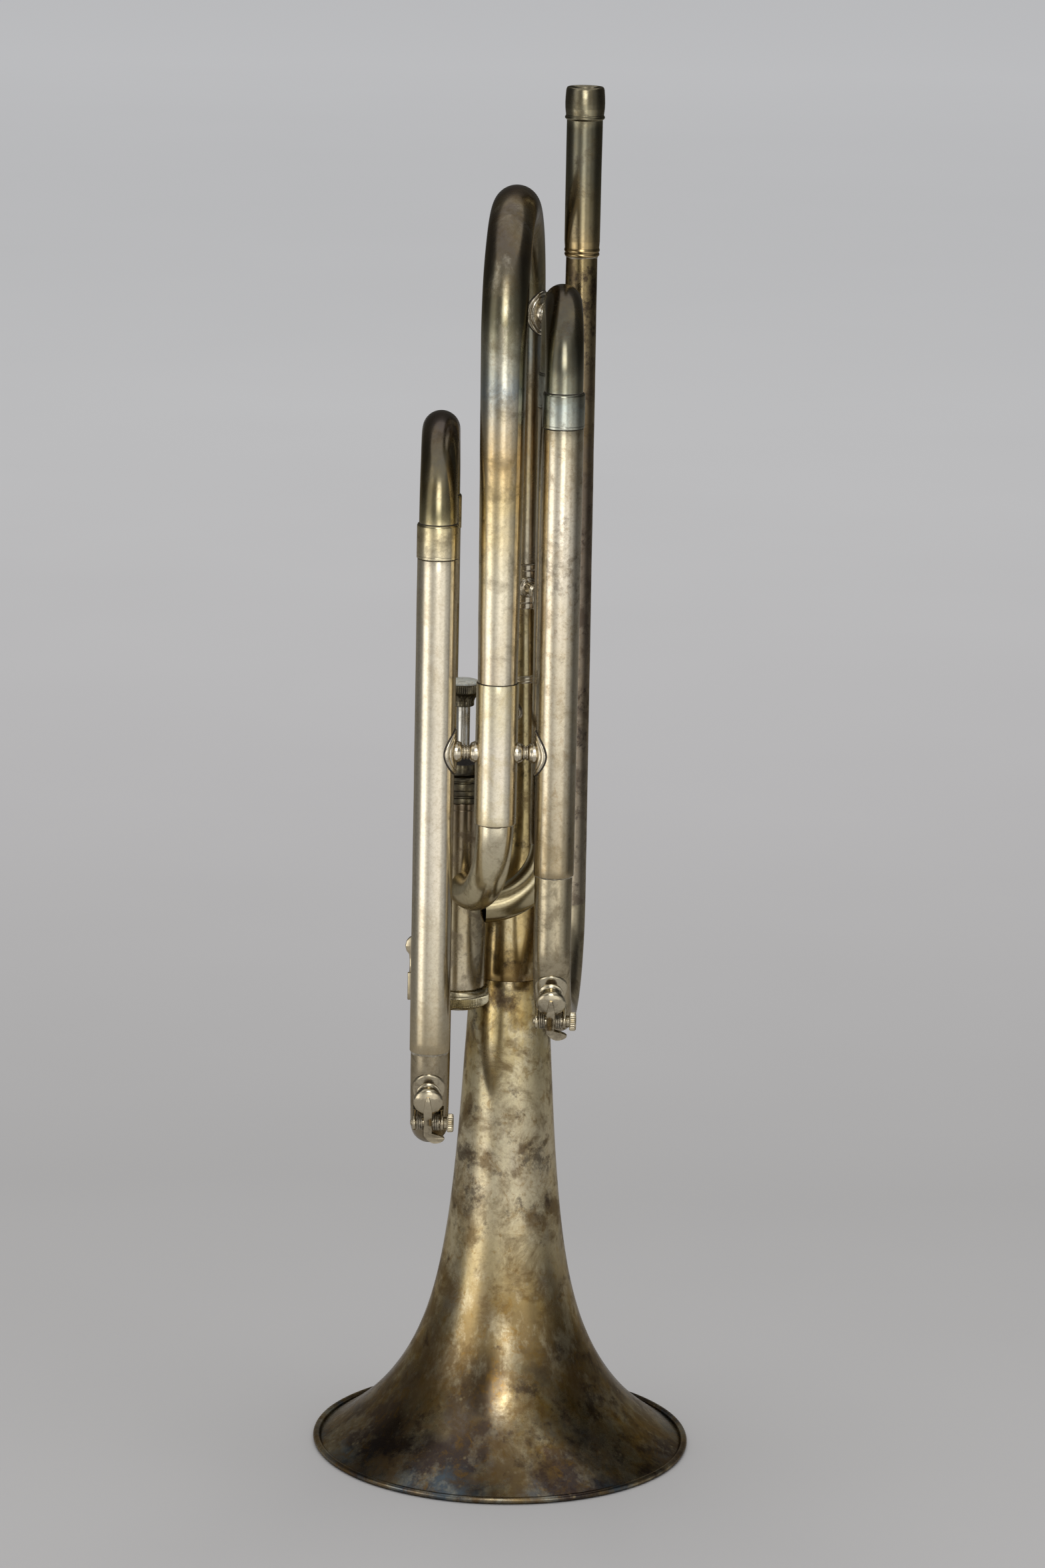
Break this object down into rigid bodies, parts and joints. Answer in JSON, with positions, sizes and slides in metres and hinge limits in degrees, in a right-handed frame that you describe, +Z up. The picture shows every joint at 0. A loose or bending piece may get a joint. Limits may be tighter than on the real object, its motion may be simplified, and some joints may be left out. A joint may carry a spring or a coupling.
{
  "type": "brass_wind_instrument",
  "caption": "Upright marching french horn in tarnished silver plate, bell down, with a top-action piston valve, tuning slides and spring-held water keys",
  "frame": {"origin": "centre of the bell rim's resting face", "axes": "+Z runs up the bell axis from the resting face, -Y is the side with the water keys, +X is the side of the leadpipe"},
  "size_m": [0.155, 0.1785, 0.56],
  "materials": {
    "bell_plate": "tarnished silver plate, mottled brown and gold, darkest on the flare",
    "stem_plate": "tarnished silver plate, yellowed, soft shine",
    "bow_plate": "tarnished silver plate, dark olive above, blue and gold tints in front",
    "tube_plate": "tarnished silver plate, warm grey, rubbed bright where it is held",
    "pipe_plate": "tarnished silver plate with violet-black blotches",
    "bend_plate": "tarnished silver plate, brown",
    "dark_plate": "heavily tarnished silver plate, olive grey",
    "brace_plate": "tarnished silver plate, rubbed",
    "key_plate": "silver plate, brighter, brown in the corners",
    "nickel": "nickel plate, fine turned lines, slightly dull",
    "brass": "bare brass, dull",
    "wire": "bare brass wire, dull",
    "spring_steel": "spring wire, dull grey",
    "pearl": "mother of pearl, faint swirls, clear gloss",
    "felt": "black wool felt",
    "cork": "pressed cork, brown specks"
  },
  "bodies": {
    "horn": {"bell_flare": "bell_plate", "rim_wire": "wire", "bell_stem": "stem_plate", "stem_ring": "dark_plate", "stem_ferrule": "dark_plate", "bow_tube": "bow_plate", "bow_sleeve": "tube_plate", "outlet_crook": "tube_plate", "leadpipe": "pipe_plate", "mouthpiece_receiver": "dark_plate", "right_bottom_bend": "bend_plate", "main_slide_outer_front": "tube_plate", "main_slide_outer_back": "tube_plate", "inlet_crook": "bend_plate", "valve_slide_outer_front": "tube_plate", "valve_slide_outer_back": "tube_plate", "loop_upper_elbow": "bend_plate", "loop_lower_elbow": "bend_plate", "left_bottom_bend": "bend_plate", "valve_casing": "bend_plate", "top_cap": "dark_plate", "cap_felt": "felt", "bottom_cap": "nickel", "valve_spring": "spring_steel", "front_brace_left": "brace_plate", "front_brace_right": "brace_plate", "sleeve_brace": "brace_plate", "leg_brace": "brace_plate", "leadpipe_brace": "brace_plate", "front_brace_saddles": "brace_plate", "rear_brace_saddles": "brace_plate", "finger_hook": "tube_plate", "right_drain_plate": "key_plate", "right_drain_nipple": "key_plate", "right_key_saddle": "key_plate", "right_key_screw": "key_plate", "right_key_spring": "spring_steel", "left_drain_plate": "key_plate", "left_drain_nipple": "key_plate", "left_key_saddle": "key_plate", "left_key_screw": "key_plate", "left_key_spring": "spring_steel"},
    "main_slide": {"main_slide_crook": "dark_plate", "main_slide_ferrules": "dark_plate", "main_slide_inner_tubes": "nickel"},
    "valve_slide": {"valve_slide_crook": "dark_plate", "valve_slide_ferrules": "dark_plate", "valve_slide_inner_tubes": "nickel"},
    "valve_piston": {"piston": "nickel", "piston_guide": "brass", "piston_stem": "nickel", "finger_button": "nickel", "button_pearl": "pearl"},
    "right_water_key": {"right_key_lever": "key_plate", "right_key_cup": "key_plate", "right_key_cork": "cork"},
    "left_water_key": {"left_key_lever": "key_plate", "left_key_cup": "key_plate", "left_key_cork": "cork"}
  },
  "joints": [
    {"name": "main_slide_pull", "type": "slide", "parent": "horn", "child": "main_slide", "axis": [0, 0, 1], "range_m": [0, 0.05]},
    {"name": "valve_slide_pull", "type": "slide", "parent": "horn", "child": "valve_slide", "axis": [0, 0, 1], "range_m": [0, 0.05]},
    {"name": "valve_press", "type": "slide", "parent": "horn", "child": "valve_piston", "axis": [0, 0, -1], "range_m": [0, 0.018], "stiffness_N_per_m": 160, "springref_m": -0.012, "deforming": ["valve_spring"]},
    {"name": "right_key_hinge", "type": "hinge", "parent": "horn", "child": "right_water_key", "pos_m": [0.0165, -0.08688, 0.20392], "axis": [1, 0, 0], "range_deg": [0, 22], "stiffness_Nm_per_rad": 0.03, "springref_deg": -34.38},
    {"name": "left_key_hinge", "type": "hinge", "parent": "horn", "child": "left_water_key", "pos_m": [-0.0305, -0.09177, 0.16315], "axis": [1, 0, 0], "range_deg": [0, 22], "stiffness_Nm_per_rad": 0.03, "springref_deg": -34.38}
  ]
}
